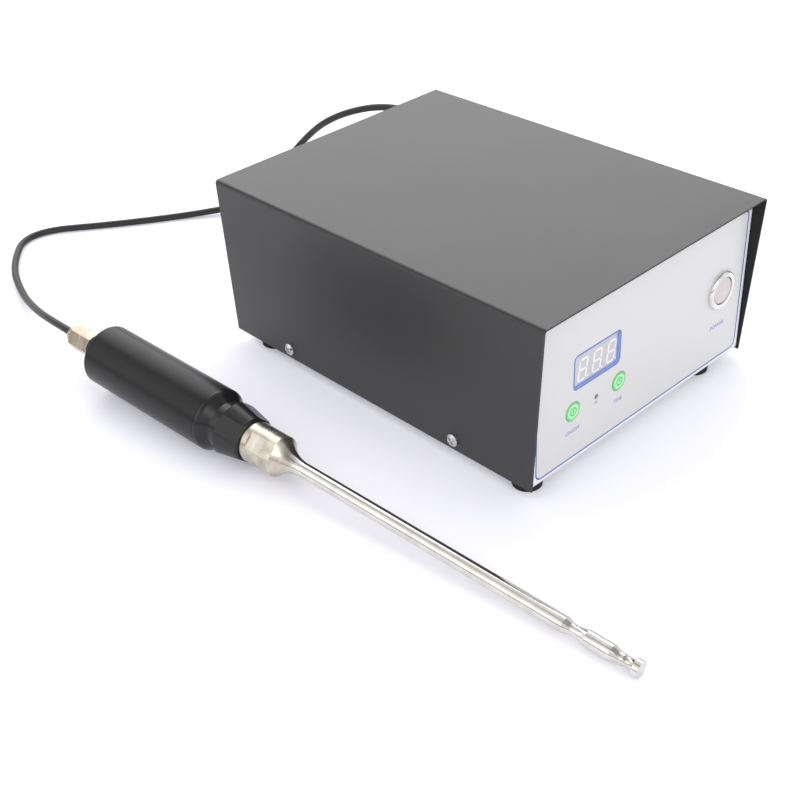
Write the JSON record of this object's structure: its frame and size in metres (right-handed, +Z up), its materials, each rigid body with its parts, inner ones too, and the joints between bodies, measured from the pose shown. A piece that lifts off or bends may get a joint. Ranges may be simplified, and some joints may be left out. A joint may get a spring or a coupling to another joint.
{
  "type": "ultrasonic processor",
  "caption": "Bench generator case with display, keys and round power button, joined by a cable to a black hand-held ultrasonic probe with a long titanium rod.",
  "frame": {"origin": "on the bench, under the middle of the box round case and probe, the cable left out", "axes": "+X to the right seen from the front, +Y from the front panel to the rear panel, +Z up"},
  "size_m": [0.3146, 0.6245, 0.114],
  "materials": {
    "black_paint": "satin powder coat",
    "grey_paint": "pale grey powder coat",
    "zinc_screw": "bright zinc",
    "overlay_film": "fine matt film",
    "blue_plastic": "semi-gloss",
    "display_grey": "satin face",
    "display_white": "diffuse",
    "key_green": "satin",
    "led_smoky": "smoky tinted",
    "black_plastic": "semi-gloss",
    "steel_polished": "polished stainless steel",
    "steel_satin": "satin stainless steel",
    "rubber_black": "matt",
    "board_green": "solder mask",
    "nickel": "satin nickel plate",
    "brass_nickel": "tinned",
    "fuse_glass": "glass tube with metal ends",
    "fan_plastic": "moulded",
    "chrome_wire": "bright",
    "heatsink_alu": "extruded",
    "epoxy_black": "moulded epoxy",
    "ferrite": "sintered",
    "copper_wire": "enamelled copper",
    "bobbin_plastic": "moulded",
    "can_sleeve": "shrink sleeve",
    "film_box": "moulded box",
    "black_body": "satin",
    "steel_mass": "turned",
    "alu_mass": "turned",
    "piezo_ceramic": "silvered",
    "copper_plate": "plain",
    "titanium": "turned and polished",
    "cable_black": "smooth jacket"
  },
  "bodies": {
    "case": {"top_cover": "black_paint", "chassis": "grey_paint", "cover_screws": "zinc_screw", "clinch_nuts": "zinc_screw", "rubber_feet": "rubber_black", "foot_screws": "zinc_screw", "foot_nuts": "zinc_screw", "front_overlay": "overlay_film", "display_bezel": "blue_plastic", "display_module": "display_grey", "display_segments": "display_white", "control_board": "board_green", "control_board_spacers": "nickel", "control_board_screws": "zinc_screw", "tact_switches": "black_plastic", "indicator_led": "led_smoky", "power_button_housing": "steel_polished", "power_button_nut": "nickel", "power_button_terminals": "brass_nickel", "mains_inlet": "black_plastic", "inlet_pins": "brass_nickel", "fan_frame": "fan_plastic", "fan_guard": "chrome_wire", "fan_screws": "zinc_screw", "rear_gland_body": "nickel", "rear_gland_cap": "nickel", "rear_gland_locknut": "nickel", "gland_seals": "rubber_black", "main_board": "board_green", "board_spacers": "nickel", "board_screws": "zinc_screw", "heatsink": "heatsink_alu", "power_transistors": "epoxy_black", "bridge_rectifier": "epoxy_black", "ferrite_cores": "ferrite", "coil_bobbins": "bobbin_plastic", "coil_windings": "copper_wire", "bus_capacitors": "can_sleeve", "film_capacitors": "film_box", "probe_housing": "black_body", "probe_end_cap": "black_body", "probe_collar": "black_body", "probe_gland_body": "nickel", "probe_gland_cap": "nickel", "back_mass": "steel_mass", "piezo_rings": "piezo_ceramic", "electrodes": "copper_plate", "preload_bolt": "steel_mass", "front_mass": "alu_mass", "flange_seals": "rubber_black", "flange_retainer": "alu_mass", "horn_stud": "steel_mass", "horn": "titanium", "probe_cable": "cable_black"},
    "power_cap": {"power_button_cap": "steel_satin"},
    "key_on_off": {"on_off_key": "key_green"},
    "key_time": {"time_key": "key_green"},
    "rotor": {"fan_rotor": "fan_plastic"},
    "fuse_carrier": {"fuse_drawer": "black_plastic", "fuse": "fuse_glass"}
  },
  "joints": [
    {"name": "power_press", "type": "slide", "parent": "case", "child": "power_cap", "axis": [0, 1, 0], "range_m": [0, 0.0025], "stiffness_N_per_m": 600},
    {"name": "on_off_press", "type": "slide", "parent": "case", "child": "key_on_off", "axis": [0, 1, 0], "range_m": [0, 0.0004], "stiffness_N_per_m": 1000},
    {"name": "time_press", "type": "slide", "parent": "case", "child": "key_time", "axis": [0, 1, 0], "range_m": [0, 0.0004], "stiffness_N_per_m": 1000},
    {"name": "fan_spin", "type": "hinge", "parent": "case", "child": "rotor", "pos_m": [0.06687, 0.15476, 0.06], "axis": [0, 1, 0], "continuous": true},
    {"name": "fuse_drawer_slide", "type": "slide", "parent": "case", "child": "fuse_carrier", "axis": [0, 1, 0], "range_m": [0, 0.014]}
  ]
}
